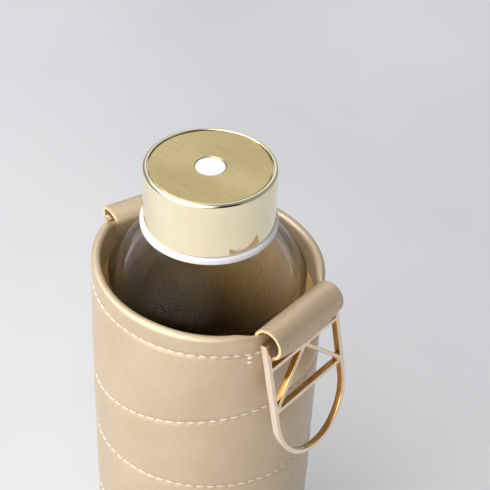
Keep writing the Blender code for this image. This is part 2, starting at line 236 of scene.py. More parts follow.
# The hollow underside and the domed floor inside, as radius and rise
UNDERSIDE = ((0.0, 0.0022), (0.004, 0.0021), (0.024, 0.0014), (0.027, 0.0008), (0.0295, 0.0001))
FLOOR_DOME = ((0.028, 0.0001), (0.004, 0.0010), (0.0, 0.0011))
SHOULDER_BOTTOM = 0.1940
NECK_BOTTOM = 0.2145
NECK_RADIUS = 0.0199
SHOULDER_POWER = 1.6
THREAD_PITCH = 0.005
THREAD_TURNS = 1.5
THREAD_START = 0.2225
THREAD_HEIGHT = 0.0014
THREAD_HALF_WIDTH = 0.0011
THREAD_CREST = 0.4 * THREAD_HALF_WIDTH
THREAD_RUN_OUT = 0.12
RELIEF_MARGIN = 0.0001

# Cap
CAP_COLUMNS = 192
CAP_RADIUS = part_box("cap_shell")[1].y
CAP_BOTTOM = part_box("cap_shell")[0].z
CAP_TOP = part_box("cap_shell")[1].z
CAP_WALL = 0.0008
CAP_WEB_TOP = 0.2406
CAP_EDGE_ROUND = 0.0013
CAP_BEAD = 0.0004
CAP_BEAD_INNER = 0.02295
CAP_RIM = 0.0003
CAP_SIDE_STEP = 0.002
PLATE_EDGE = 0.00025
PLATE_GAP = 0.0002
LINER_FLANGE_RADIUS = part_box("cap_liner")[1].y
LINER_FLANGE_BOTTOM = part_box("cap_liner")[0].z
LINER_BORE = 0.0220
LINER_GAP = 0.0003
LINER_WEB = 0.0009
LINER_EDGE = 0.0006
LINER_CHAMFER = 0.0004
LINER_COLUMNS = 160
LINER_THREAD_HEIGHT = 0.0013


# -------- mesh tools


def smooth_step(value, low, high):
    """Rises smoothly from 0 at low to 1 at high."""
    t = np.clip((value - low) / (high - low), 0.0, 1.0)
    return t * t * (3 - 2 * t)


def ring_angles(columns):
    return np.arange(columns) * TURN / columns


def linked(name, data):
    """A new object in the scene."""
    obj = bpy.data.objects.new(name, data)
    bpy.context.scene.collection.objects.link(obj)
    return obj


def new_mesh(name, points, faces):
    mesh = bpy.data.meshes.new(name)
    mesh.from_pydata(points, [], faces)
    return mesh


def new_object(name, mesh, surfaces, smooth_angle=radians(40)):
    """Links a mesh with outward, smooth faces and its materials."""
    bm = bmesh.new()
    bm.from_mesh(mesh)
    bmesh.ops.recalc_face_normals(bm, faces=bm.faces[:])
    bm.to_mesh(mesh)
    bm.free()
    for surface in surfaces:
        mesh.materials.append(surface)
    mesh.shade_smooth()
    mesh.set_sharp_from_angle(angle=smooth_angle)
    return linked(name, mesh)


def ring_faces(rows, columns, closed):
    """Quads between neighbouring rings; closed also joins the last ring to the first."""
    row, column = np.meshgrid(
        np.arange(rows if closed else rows - 1), np.arange(columns), indexing="ij"
    )
    after, beside = (row + 1) % rows, (column + 1) % columns
    quads = [
        row * columns + column,
        row * columns + beside,
        after * columns + beside,
        after * columns + column,
    ]
    return np.stack(quads, axis=-1).reshape(-1, 4).tolist()


def capped_tube(rings, base=0):
    """Points and faces through rings, an array (rings, points, 3), with a fan over each end."""
    rows, columns = rings.shape[:2]
    points = rings.reshape(-1, 3).tolist()
    points += [ring.mean(axis=0).tolist() for ring in (rings[0], rings[-1])]
    faces = [[base + i for i in quad] for quad in ring_faces(rows, columns, False)]
    end = rows * columns
    for first, middle in ((0, end), (end - columns, end + 1)):
        faces += [
            [base + first + k, base + first + (k + 1) % columns, base + middle]
            for k in range(columns)
        ]
    return points, faces


def ring_mesh(name, rings, closed=True):
    """Mesh through rings of points. One that isn't closed gets a fan at each end."""
    if not closed:
        return new_mesh(name, *capped_tube(rings))
    faces = ring_faces(*rings.shape[:2], True)
    return new_mesh(name, rings.reshape(-1, 3).tolist(), faces)


def turned(name, outline, surface, columns=CAP_COLUMNS, relief=None):
    """Turns a (radius, height) outline about Z.

    relief gives what is added to the radius at each height and angle.
    """
    angles = ring_angles(columns)
    open_ends = outline[0][0] == 0 and outline[-1][0] == 0
    rings = []
    for radius, height in outline[1:-1] if open_ends else outline:
        extra = relief(radius, height, angles) if relief else 0.0
        r = radius + extra + 0 * angles
        rings.append(np.stack([r * np.cos(angles), r * np.sin(angles), height + 0 * r], -1))
    mesh = ring_mesh(name, np.array(rings), closed=not open_ends)
    if open_ends:
        mesh.vertices[-2].co.z = outline[0][1]
        mesh.vertices[-1].co.z = outline[-1][1]
    return new_object(name, mesh, [surface])


def arc(centre_r, centre_z, radius, start, end, steps):
    """Points of an arc in a (radius, height) outline; the angles are in degrees."""
    angles = [radians(start + (end - start) * i / steps) for i in range(steps + 1)]
    return [(centre_r + radius * cos(a), centre_z + radius * sin(a)) for a in angles]


def finer(outline, step):
    """Splits the long stretches of an outline."""
    result = []
    for (r0, z0), (r1, z1) in zip(outline, outline[1:]):
        parts = max(1, int(hypot(r1 - r0, z1 - z0) / step))
        result += [
            (r0 + (r1 - r0) * k / parts, z0 + (z1 - z0) * k / parts) for k in range(parts)
        ]
    return result + [outline[-1]]


def place(piece, body, slot, *nodes):
    """Says what a finished piece moves with, and hides the CAD nodes that it stands for. The slot,
    its finish, is not used.
    """
    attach(piece, body)
    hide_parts(*nodes)
    return piece


# -------- materials


class Surface:
    """A Principled material under construction. Uniform values go on the shader's own sockets."""

    def __init__(self, name, roughness, **sockets):
        self.material = bpy.data.materials.new(name)
        self.material.use_nodes = True
        self.tree = self.material.node_tree
        self.shader = self.tree.nodes["Principled BSDF"]
        self.shader.inputs["Roughness"].default_value = roughness
        for socket, value in sockets.items():
            self.shader.inputs[socket.replace("_", " ")].default_value = value
        self.height = None
        self.place = self.node("ShaderNodeTexCoord").outputs["Object"]

    def node(self, kind, **values):
        made = self.tree.nodes.new(kind)
        for key, value in values.items():
            if hasattr(made, key):
                setattr(made, key, value)
            else:
                made.inputs[key.replace("_", " ")].default_value = value
        return made

    def link(self, source, target):
        self.tree.links.new(source, target)

    def stretched(self, scale, turn=(0.0, 0.0, 0.0)):
        """Object coordinates, scaled and turned."""
        mapping = self.node("ShaderNodeMapping", Scale=scale, Rotation=turn)
        self.link(self.place, mapping.inputs["Vector"])
        return mapping.outputs["Vector"]

    def noise(self, scale, detail=3.0, roughness=0.55, where=None):
        made = self.node("ShaderNodeTexNoise", Scale=scale, Detail=detail, Roughness=roughness)
        self.link(where or self.place, made.inputs["Vector"])
        return made.outputs["Fac"]

    def patches(self, scale, detail=3.0, roughness=0.55, where=None):
        """Noise that is spread over the full range from 0 to 1."""
        return self.remap(self.noise(scale, detail, roughness, where), 0.35, 0.65)

    def cells(self, scale, feature="F1"):
        made = self.node("ShaderNodeTexVoronoi", feature=feature, Scale=scale)
        self.link(self.place, made.inputs["Vector"])
        return made.outputs["Distance"]

    def remap(self, value, low, high, new_low=0.0, new_high=1.0):
        made = self.node("ShaderNodeMapRange")
        for name, number in zip(
            ("From Min", "From Max", "To Min", "To Max"), (low, high, new_low, new_high)
        ):
            made.inputs[name].default_value = number
        self.link(value, made.inputs["Value"])
        return made.outputs["Result"]

    def mixed(self, share, first, second):
        """Mixes two colours, each a triple or another node's output."""
        made = self.node("ShaderNodeMix", data_type="RGBA")
        self.link(share, made.inputs["Factor"])
        for colour, socket in ((first, made.inputs[6]), (second, made.inputs[7])):
            if isinstance(colour, tuple):
                socket.default_value = (*colour, 1.0)
            else:
                self.link(colour, socket)
        return made.outputs[2]

    def colour(self, source):
        self.link(source, self.shader.inputs["Base Color"])

    def rough(self, source, low, high):
        self.link(self.remap(source, 0.3, 0.7, low, high), self.shader.inputs["Roughness"])

    def bump(self, height, distance, strength=1.0):
        """Adds a layer of relief on top of the earlier ones."""
        made = self.node("ShaderNodeBump", Strength=strength, Distance=distance)
        self.link(height, made.inputs["Height"])
        if self.height:
            self.link(self.height, made.inputs["Normal"])
        self.height = made.outputs["Normal"]
        self.link(self.height, self.shader.inputs["Normal"])


def champagne_leather():
    made = Surface(
        "champagne_leather_grain", 0.42, Metallic=0.45, Coat_Weight=0.4, Coat_Roughness=0.34
    )
    patches = made.patches(38.0)
    pores = made.remap(made.cells(1500.0), 0.0, 0.55)
    pale = made.mixed(patches, (0.60, 0.465, 0.31), (0.66, 0.52, 0.355))
    deep = made.mixed(patches, (0.53, 0.40, 0.255), (0.58, 0.445, 0.295))
    made.colour(made.mixed(pores, pale, deep))
    made.rough(made.noise(420.0, 4.0), 0.36, 0.50)
    made.bump(made.cells(1350.0, "SMOOTH_F1"), 0.00006, 0.55)
    made.bump(made.noise(5200.0, 2.0), 0.00002, 0.5)
    made.bump(made.noise(160.0, 2.0), 0.00012, 0.35)
    return made.material


def raw_leather_edge():
    made = Surface("raw_leather_edge", 0.8)
    grain = made.patches(2600.0, 4.0)
    made.colour(made.mixed(grain, (0.62, 0.42, 0.15), (0.80, 0.65, 0.36)))
    made.bump(made.noise(3000.0, 4.0), 0.00012)
    return made.material


def cream_thread():
    made = Surface("cream_thread_twist", 0.62, Sheen_Weight=0.25, Sheen_Roughness=0.5)
    fibres = made.patches(4200.0)
    made.colour(made.mixed(fibres, (0.66, 0.59, 0.47), (0.84, 0.78, 0.67)))
    made.bump(made.noise(6000.0, 2.0), 0.00004)
    return made.material


def lining_with_painted_shade():
    """Brushed lining, golden brown near the mouth, with painted shade that makes it darker lower
    down inside the sleeve.
    """
    made = Surface("brushed_lining_painted_shade", 0.85, Specular_IOR_Level=0.15)
    threads = made.noise(900.0, 4.0, 0.6, made.stretched((1.0, 1.0, 0.25)))
    share = made.remap(threads, 0.35, 0.65)
    height = made.node("ShaderNodeSeparateXYZ")
    made.link(made.place, height.inputs["Vector"])
    # Painted shade: the lining fades to near black lower down, where little light reaches inside
    # the sleeve.
    rise = made.remap(height.outputs["Z"], 0.126, 0.184)
    low = made.mixed(share, (0.055, 0.022, 0.004), (0.10, 0.045, 0.010))
    high = made.mixed(share, (0.78, 0.46, 0.15), (0.95, 0.64, 0.28))
    made.colour(made.mixed(rise, low, high))
    made.bump(threads, 0.00015)
    return made.material


def white_foam():
    made = Surface("white_foam_cells", 0.95)
    cells = made.remap(made.cells(1800.0), 0.0, 0.5)
    made.colour(made.mixed(cells, (0.62, 0.60, 0.54), (0.82, 0.80, 0.74)))
    made.bump(cells, 0.0002)
    return made.material


def grey_board():
    made = Surface("grey_board_fibres", 0.92)
    fibres = made.noise(700.0, 5.0, 0.65, made.stretched((1.0, 4.0, 1.0)))
    share = made.remap(fibres, 0.3, 0.7)
    made.colour(made.mixed(share, (0.34, 0.32, 0.29), (0.52, 0.50, 0.46)))
    made.bump(fibres, 0.00008)
    return made.material


def clear_glass():
    """Glass that is nearly see-through face on, and shows its reflections edge on."""
    made = Surface(
        "clear_glass_bottle", 0.0, Transmission_Weight=1.0, IOR=1.45, Specular_IOR_Level=0.2
    )
    facing = made.node("ShaderNodeLayerWeight", Blend=0.5).outputs["Facing"]
    made.link(made.remap(facing, 0.40, 0.97, 0.10, 1.0), made.shader.inputs["Alpha"])
    film = made.patches(30.0)
    made.colour(made.mixed(film, (0.975, 0.985, 0.98), (0.995, 0.998, 0.995)))
    made.rough(made.noise(75.0, 5.0, 0.6), 0.0, 0.02)
    made.bump(made.noise(28.0, 2.0), 0.0006, 0.25)
    return made.material


def milky_silicone():
    made = Surface("milky_silicone", 0.5, Subsurface_Weight=0.3, Subsurface_Scale=0.002)
    cloud = made.patches(180.0)
    made.colour(made.mixed(cloud, (0.74, 0.76, 0.76), (0.86, 0.88, 0.88)))
    made.bump(made.noise(2500.0, 2.0), 0.00002)
    return made.material


def white_plastic():
    made = Surface(
        "white_moulded_plastic", 0.32, Subsurface_Weight=0.15, Subsurface_Scale=0.001
    )
    cloud = made.patches(90.0)
    made.colour(made.mixed(cloud, (0.73, 0.73, 0.75), (0.79, 0.79, 0.81)))
    made.rough(made.noise(600.0, 3.0), 0.26, 0.42)
    made.bump(made.noise(3200.0, 2.0), 0.000015)
    return made.material


def polished_gold():
    made = Surface("polished_pale_gold", 0.06, Metallic=1.0)
    tint = made.patches(45.0, 2.0)
    made.colour(made.mixed(tint, (0.90, 0.785, 0.54), (0.95, 0.845, 0.62)))
    made.rough(made.noise(260.0, 4.0), 0.035, 0.10)
    made.bump(made.noise(24.0, 2.0), 0.0004, 0.06)
    return made.material


def brushed_gold():
    made = Surface("brushed_olive_gold", 0.3, Metallic=1.0, Anisotropic=0.5)
    brushed = made.stretched((90.0, 3200.0, 3200.0), (0.0, 0.0, radians(38)))
    lines = made.noise(1.0, 4.0, 0.6, brushed)
    streak = made.patches(60.0, 3.0, 0.5, made.stretched((0.4, 2.0, 2.0)))
    shade = made.mixed(streak, (0.51, 0.395, 0.17), (0.60, 0.475, 0.22))
    made.colour(made.mixed(made.remap(lines, 0.3, 0.7), shade, (0.68, 0.55, 0.28)))
    made.rough(lines, 0.22, 0.38)
    made.bump(lines, 0.000012, 0.6)
    return made.material


def rose_gold():
    """Satin plating on the front, the back and the outer rim of a handle."""
    made = Surface("satin_rose_gold", 0.2, Metallic=1.0)
    tint = made.patches(120.0, 2.0)
    made.colour(made.mixed(tint, (0.90, 0.725, 0.555), (0.95, 0.80, 0.65)))
    made.rough(made.noise(380.0, 4.0), 0.16, 0.28)
    made.bump(made.noise(330.0, 3.0), 0.00008, 0.15)
    return made.material


def gold_with_painted_shade():
    """The handle's gold, darker and deeper as painted shade, for the sides of the bars that face a
    window.
    """
    made = Surface("polished_gold_painted_shade", 0.1, Metallic=1.0)
    tint = made.patches(150.0, 2.0)
    made.colour(made.mixed(tint, (0.66, 0.40, 0.14), (0.80, 0.53, 0.24)))
    made.rough(made.noise(420.0, 4.0), 0.06, 0.18)
    made.bump(made.noise(330.0, 3.0), 0.0001, 0.2)
    return made.material


def pale_floor():
    """Pale grey, with painted light and shade that make it a little darker away from the camera."""
    made = Surface("pale_matt_floor", 0.6)
    cloud = made.remap(made.noise(5.0, 3.0), 0.3, 0.7)
    spread = made.stretched((1.0, 1.0, 1.0), (0.0, 0.0, radians(10)))
    depth = made.node("ShaderNodeSeparateXYZ")
    made.link(spread, depth.inputs["Vector"])
    # Painted light and shade: the near floor is paler and the far floor darker, standing in for how
    # the room's light falls.
    near = made.mixed(cloud, (0.62, 0.62, 0.625), (0.66, 0.66, 0.665))
    far = made.mixed(cloud, (0.42, 0.425, 0.435), (0.46, 0.465, 0.475))
    made.colour(made.mixed(made.remap(depth.outputs["Y"], -0.25, 0.30), near, far))
    made.bump(made.noise(900.0, 3.0), 0.00005)
    return made.material


# -------- shape of the sleeve wall


def away_from(angles, centre):
    """How far each angle lies from a centre angle, the short way round."""
    return np.abs((angles - centre + pi) % TURN - pi)


def flatness(angles, inner=FLAT_HALF_ANGLE, outer=FLAT_END_ANGLE):
    """1 where a handle loop presses the wall flat, and 0 away from the loops."""
    shares = [
        1 - smooth_step(away_from(angles, centre), inner, outer)
        for centre in HANDLE_ANGLES.values()
    ]
    return np.maximum(*shares)


def smooth_minimum(a, b, corner):
    """The smaller of two values, with a rounded change from one to the other."""
    h = np.clip(0.5 + 0.5 * (b - a) / corner, 0.0, 1.0)
    return b + (a - b) * h - corner * h * (1 - h)


def wall_radius(angles, z):
    """Radius of the outside of the wall, before its quilting."""
    oval = MOUTH_RADIUS + MOUTH_OVAL * np.cos(2 * angles)
    radius = SLEEVE_RADIUS + (oval - SLEEVE_RADIUS) * smooth_step(z, ROUND_BELOW, OVAL_FROM)
    pressed = smooth_step(z, ROUND_BELOW, FLAT_FROM)
    limit = SLEEVE_RADIUS + (FLAT_X - SLEEVE_RADIUS) * pressed
    for centre in HANDLE_ANGLES.values():
        chord = limit / np.maximum(np.cos(away_from(angles, centre)), LEAST_COSINE)
        radius = smooth_minimum(radius, chord, FLAT_CORNER * pressed + TINY)
    return radius


def rim_lift(angles):
    """How far the top edge stands above or below its level place."""
    base, along_x, along_y, twice = RIM_LIFT
    lift = base + along_x * np.cos(angles) + along_y * np.sin(angles) + twice * np.cos(2 * angles)
    crest, reach, height = RIM_CREST
    lift = lift + height * np.exp(-((away_from(angles, crest) / reach) ** 2))
    return lift + (FLAT_RIM_LIFT - lift) * flatness(angles)


def row_shift(row, angles):
    shift, along_x, along_y = ROW_SLANTS[row]
    return shift + along_x * np.cos(angles) + along_y * np.sin(angles)


def slanted(angles, z):
    """Height of a point that would be at level z if every row of stitching ran level."""
    knots = [0.0] + [height_of(row) for row in STITCH_ROWS] + [SLEEVE_TOP]
    shifts = [0 * angles] + [row_shift(row, angles) for row in STITCH_ROWS] + [0 * angles]
    shift = 0 * (angles + z)
    for k in range(len(knots) - 1):
        share = smooth_step(z, knots[k], knots[k + 1])
        shift = shift + (shifts[k + 1] - shifts[k]) * share
    return z + shift


def wall_point(angles, z, depth):
    """Point of the wall at a level height z, so far in from its outside."""
    height = slanted(angles, z)
    pressed = flatness(angles) * smooth_step(z, ROUND_BELOW, SQUEEZED_FROM)
    squeeze = 1 - (1 - FLAT_SQUEEZE) * pressed
    radius = wall_radius(angles, height) - depth * squeeze
    height = height + rim_lift(angles) * smooth_step(z, RIM_LIFT_FROM, SLEEVE_TOP)
    return np.stack([radius * np.cos(angles), radius * np.sin(angles), height + 0 * angles], -1)


def quilting(angles, z):
    """How far the leather stands out at a level height z.

    The bands between the seams are puffed, the seams are sunk and the holes pucker it.
    """
    away = np.min([np.abs(z - height_of(row)) for row in STITCH_ROWS], axis=0)
    holes = (0.5 + 0.5 * np.cos(STITCHES_PER_ROW * angles)) ** 2
    swell = sum(
        np.sin(times * angles + rise * z + phase) for times, rise, phase in SWELL_WAVES
    )
    band = 1 - np.exp(-away / PUFF_REACH)
    return (
        PUFF * band
        + SWELL * swell / len(SWELL_WAVES) * band
        - SEAM_DEPTH * np.exp(-((away / SEAM_REACH) ** 2))
        - PUCKER_DEPTH * holes * np.exp(-((away / PUCKER_REACH) ** 2))
    )


def wall_heights():
    """Level heights of the outside of the wall, close together at each row of stitching."""
    rows = [height_of(row) for row in STITCH_ROWS]
    heights = set(BOTTOM_RINGS)
    for row in rows:
        for offset in SEAM_RINGS:
            heights |= {row - offset, row + offset}
    for low, high in zip(rows, rows[1:]):
        heights |= set(np.linspace(low + SEAM_RINGS[-1], high - SEAM_RINGS[-1], BAND_RINGS))
    top = SLEEVE_TOP - LIP_HEIGHT
    return [h for h in sorted(heights) if LOWEST_RING < h < top - CLOSEST_RINGS] + [top]


def make_leather_wall():
    """The quilted leather, its round top edge and the hem that is turned in behind it."""
    angles = ring_angles(WALL_COLUMNS)
    rings = [wall_point(angles, z, depth) for z, depth in BOTTOM_EDGE]
    for z in wall_heights():
        rings.append(wall_point(angles, z, -quilting(angles, z)))
    half = WALL_THICKNESS / 2
    lip = SLEEVE_TOP - LIP_HEIGHT
    outside = -quilting(angles, lip)
    for a in np.linspace(0, pi, LIP_STEPS + 1)[1:]:
        depth = half - half * cos(a) + outside * (0.5 + 0.5 * cos(a))
        rings.append(wall_point(angles, lip + LIP_HEIGHT * sin(a), depth))
    hem_bottom = SLEEVE_TOP - HEM_DEPTH
    hem_roof = SLEEVE_TOP - LEATHER - 2 * LAYER_GAP
    for z in np.linspace(SLEEVE_TOP - 2 * LIP_HEIGHT, hem_bottom + HEM_EDGE, 9):
        rings.append(wall_point(angles, z, WALL_THICKNESS))
    behind = WALL_THICKNESS - HEM_THICKNESS
    rings += [
        wall_point(angles, hem_bottom, WALL_THICKNESS - HEM_EDGE),
        wall_point(angles, hem_bottom, behind),
        wall_point(angles, hem_roof, behind),
        wall_point(angles, hem_roof, LEATHER),
    ]
    for z in np.linspace(hem_roof, 0.0, 40)[1:]:
        rings.append(wall_point(angles, z, LEATHER))
    mesh = ring_mesh("leather_wall", np.array(rings))
    obj = new_object("leather_wall", mesh, [champagne_leather()])
    return place(obj, "sleeve", "champagne_leather", "sleeve_outer")


def make_layer(name, outer, inner, bottom, top, surface):
    """A soft layer inside the leather wall."""
    angles = ring_angles(WALL_COLUMNS // 2)
    heights = np.linspace(bottom, top, LAYER_RINGS)
    outside = [outer + LAYER_GAP * (z in (bottom, top)) for z in heights]
    inside = [inner - LAYER_GAP / 2 * (z in (bottom, top)) for z in heights]
    walls = [*zip(heights, outside), *zip(heights[::-1], inside[::-1])]
    rings = np.array([wall_point(angles, z, depth) for z, depth in walls])
    return new_object(name, ring_mesh(name, rings), [surface])


def make_wall_layers():
    """Foam behind the leather, and the brown lining inside it, darkened lower down by painted
    shade.
    """
    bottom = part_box("sleeve_padding")[0].z
    foam = make_layer(
        "foam_wall",
        LEATHER + LAYER_GAP,
        LINING_OUTER_DEPTH - 2 * LAYER_GAP,
        bottom,
        SLEEVE_TOP - FOAM_TOP_DEPTH,
        white_foam(),
    )
    place(foam, "sleeve", "foam_padding", "sleeve_padding")
    top = SLEEVE_TOP - HEM_DEPTH - 2 * LAYER_GAP
    lining = make_layer(
        "lining_wall", LINING_OUTER_DEPTH, LINING_INNER_DEPTH, bottom, top, lining_with_painted_shade()
    )
    place(lining, "sleeve", "dark_lining", "sleeve_lining")


# -------- stitching


def stitch_rings(centre, outward, along, half_length, radius, sink):
    """Rings of a two-ply stitch that dips into the leather at both ends."""
    side = np.cross(outward, along)
    rings = []
    for s in np.linspace(-1, 1, STITCH_STEPS + 1):
        middle = centre + along * (s * half_length) - outward * (sink * s**4)
        slim = sqrt(max(0.0, 1 - abs(s) ** 5)) * (1 - STITCH_TIP) + STITCH_TIP
        turn = STITCH_TWIST * s
        ring = []
        for k in range(STITCH_SIDES):
            a = TURN * k / STITCH_SIDES
            ply = radius * slim * (1 + STITCH_PLY * cos(2 * (a - turn)))
            ring.append(middle + side * (ply * cos(a)) + outward * (ply * sin(a)))
        rings.append(ring)
    return np.array(rings)


def join_rings(name, bundles, surface):
    """One object of many small closed pieces, each given as rings."""
    points, faces = [], []
    for rings in bundles:
        more_points, more_faces = capped_tube(rings, len(points))
        points += more_points
        faces += more_faces
    return new_object(name, new_mesh(name, points, faces), [surface])


def wall_frame(angle, z, proud):
    """Point so far out from the wall, with its outward and sideways directions."""
    step = 0.01
    spots = np.array([angle, angle - step, angle + step])
    points = wall_point(spots, z, -proud)
    along = points[2] - points[1]
    along = along / np.linalg.norm(along)
    outward = np.array([cos(angle), sin(angle), 0.0])
    outward = outward - along * (outward @ along)
    return points[0], outward / np.linalg.norm(outward), along


def make_stitch_row(row, surface):
    """A row of single stitches with a hole between each two. The hem has none behind a loop."""
    bundles = []
    for k in range(STITCHES_PER_ROW):
        angle = TURN * (k + 0.5) / STITCHES_PER_ROW
        if row == "hem_stitching" and flatness(np.array([angle]), *HEM_GAP)[0] > 0.5:
            continue
        centre, outward, along = wall_frame(angle, height_of(row), STITCH_LEVEL)
        centre = centre + np.array([0, 0, STITCH_WOBBLE * sin(WOBBLE_TURN * k)])
        stitch = (STITCH_HALF_LENGTH, THREAD_RADIUS, STITCH_SINK)
        bundles.append(stitch_rings(centre, outward, along, *stitch))
    obj = join_rings(row + "_thread", bundles, surface)
    return place(obj, "sleeve", "cream_thread", row)


def make_bartack(node, angle, surface):
    """Two short knots of thread, one above the other, that lock the hem beside a loop."""
    knot = (KNOT_HALF_LENGTH, KNOT_RADIUS, KNOT_SINK)
    bundles = [
        stitch_rings(*wall_frame(angle, height_of(node) + offset, KNOT_LEVEL), *knot)
        for offset in KNOT_OFFSETS
    ]
    return place(join_rings(node + "_knots", bundles, surface), "sleeve", "cream_thread", node)


def make_stitching():
    surface = cream_thread()
    for row in STITCH_ROWS:
        make_stitch_row(row, surface)
    for where in PLACES:
        for hand in ("left", "right"):
            node = f"{where}_{hand}_bartack"
            low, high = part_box(node)
            middle = (low + high) / 2
            make_bartack(node, atan2(middle.y, middle.x), surface)


# -------- handle loops


def loop_path(where, y):
    """Middle line of the folded leather at one place along the bar, as (x, z) points."""
    share = max(0.0, 1 - (y / LOOP_HALF_LENGTH) ** 2)
    belly = LOOP_BELLIES[where] * share**LOOP_BELLY_POWER
    height = LOOP_HEIGHTS[where]
    flatter = height / LOOP_RADIUS
    tail_x = FLAT_X + LOOP_TAIL_GAP + LOOP_LEATHER / 2
    leg = BAR_Z - LOOP_LEG_BOTTOM
    points = [
        (BAR_X - LOOP_RADIUS, LOOP_LEG_BOTTOM + leg * k / LOOP_LEG_STEPS)
        for k in range(LOOP_LEG_STEPS)
    ]
    end = -pi / 2 - asin((BAR_X - tail_x) / LOOP_RADIUS)
    for k in range(LOOP_TURN_STEPS + 1):
        a = pi + (end - pi) * k / LOOP_TURN_STEPS
        bulge = belly * np.exp(-(((a - LOOP_BELLY_ANGLE) / LOOP_BELLY_REACH) ** 2))
        r = LOOP_RADIUS + bulge * (1 - smooth_step(a, end + LOOP_BELLY_END, end))
        rise = height * sin(a) ** (0.5 + 0.5 * flatter) if sin(a) > 0 else r * sin(a)
        points.append((BAR_X + r * cos(a), BAR_Z + rise))
    low = points[-1][1]
    return points + [
        (tail_x, low + (LOOP_TAIL_BOTTOM - low) * k / LOOP_TAIL_STEPS)
        for k in range(1, LOOP_TAIL_STEPS + 1)
    ]


def offset_path(points, distance):
    """The path moved sideways by a distance."""
    p = np.array(points)
    along = np.gradient(p, axis=0)
    along /= np.linalg.norm(along, axis=1)[:, None]
    return p + np.stack([-along[:, 1], along[:, 0]], -1) * distance


def make_loop(where, leather, edge):
    """Leather folded over the top bar of a handle, with raw edges at both ends."""
    stations = np.linspace(-1, 1, LOOP_STATIONS)
    stations = np.sign(stations) * (1 - (1 - np.abs(stations)) ** LOOP_STATION_POWER)
    rings = []
    for s in stations:
        y = s * LOOP_HALF_LENGTH
        path = loop_path(where, y)
        thin = 1 - LOOP_EDGE_THINNING * smooth_step(abs(s), LOOP_EDGE_FROM, 1.0)
        outer = offset_path(path, LOOP_LEATHER / 2 * thin)
        inner = offset_path(path, -LOOP_LEATHER / 2 * thin)
        outline = np.vstack([outer, inner[::-1]])
        narrowing = smooth_step(np.arange(len(outer)), *LOOP_NARROWING_STEPS)
        width = 1 - LOOP_TAIL_NARROWING * narrowing
        across = y * np.concatenate([width, width[::-1]])
        rings.append(np.column_stack([outline[:, 0], across, outline[:, 1]]))
    rings = np.array(rings)
    count = rings.shape[1]
    half = count // 2
    name = where + "_loop_leather"
    faces = ring_faces(len(rings), count, False)
    walls = len(faces)
    for first in (0, (len(rings) - 1) * count):
        faces += [
            [first + k, first + k + 1, first + count - 2 - k, first + count - 1 - k]
            for k in range(half - 1)
        ]
    mesh = new_mesh(name, rings.reshape(-1, 3).tolist(), faces)
    for polygon in mesh.polygons[walls:]:
        polygon.material_index = 1
    obj = new_object(name, mesh, [leather, edge])
    obj.data.transform(Matrix.Rotation(HANDLE_ANGLES[where], 4, "Z"))
    return place(obj, "sleeve", "champagne_leather", where + "_handle_loop")


# -------- handles


def inset(corners, margins):
    """Corners of an anticlockwise polygon after each edge has moved inwards by its own margin."""
    lines = []
    for (a, b), margin in zip(zip(corners, corners[1:] + corners[:1]), margins):
        along = (Vector(b) - Vector(a)).normalized()
        lines.append((Vector(a) + Vector((-along.y, along.x)) * margin, along))
    result = []
    for (p, d), (q, e) in zip(lines[-1:] + lines[:-1], lines):
        offset = q - p
        t = (offset.x * e.y - offset.y * e.x) / (d.x * e.y - d.y * e.x)
        result.append(tuple(p + d * t))
    return result


def rounded(corners, radius, steps=5):
    """The polygon with each corner replaced by an arc."""
    result = []
    befores, afters = corners[-1:] + corners[:-1], corners[1:] + corners[:1]
    for before, corner, after in zip(befores, corners, afters):
        c = Vector(corner)
        back, ahead = (Vector(before) - c).normalized(), (Vector(after) - c).normalized()
        half = acos(max(-1.0, min(1.0, back.dot(ahead)))) / 2
        centre = c + (back + ahead).normalized() * (radius / sin(half))
        reach = radius / (sin(half) / cos(half))
        start, end = c + back * reach - centre, c + ahead * reach - centre
        for k in range(steps + 1):
            turn = start.lerp(end, k / steps).normalized() * radius
            result.append(tuple(centre + turn))
    return result


def u_shape(half_width, top, arc_height, steps):
    """Anticlockwise outline that is straight at the top and sides and round at the bottom."""
    low = [
        (
            -half_width * cos(pi * i / steps),
            -RING_ARC_START - arc_height * sin(pi * i / steps),
        )
        for i in range(steps + 1)
    ]
    return low + [(half_width, top), (-half_width, top)]


def handle_outlines():
    """The outside and the five windows of the flat handle.

    The middle of its top bar is at (0, 0), and -Y points down.
    """
    half, bar, cross = RING_HALF_WIDTH, RING_BAR / 2, CROSS_BAR / 2
    diagonal = DIAGONAL_BAR / 2
    upper, lower = -UPPER_CROSS_BAR, -LOWER_CROSS_BAR
    outside = u_shape(half + bar, bar, RING_ARC_HEIGHT + bar, OUTSIDE_STEPS)
    finger = u_shape(half - bar, lower - cross, RING_ARC_HEIGHT - bar, FINGER_STEPS)
    top_window = inset(
        [(-half, upper), (half, upper), (half, 0.0), (-half, 0.0)], [cross, bar, bar, bar]
    )
    left = inset([(-half, upper), (-half, lower), (0.0, upper)], [bar, diagonal, cross])
    right = [(-x, y) for x, y in reversed(left)]
    middle = inset([(0.0, upper), (-half, lower), (half, lower)], [diagonal, cross, diagonal])
    windows = [rounded(w, WINDOW_FILLET) for w in (top_window, left, right, middle)]
    return [outside, finger, *windows]


def faces_a_window(point):
    """Whether a point of the handle's rim lies on the inner side of the ring's middle line."""
    below = -RING_ARC_START - point.y
    if below > 0:
        return (point.x / RING_HALF_WIDTH) ** 2 + (below / RING_ARC_HEIGHT) ** 2 < 1
    return abs(point.x) < RING_HALF_WIDTH and point.y < 0


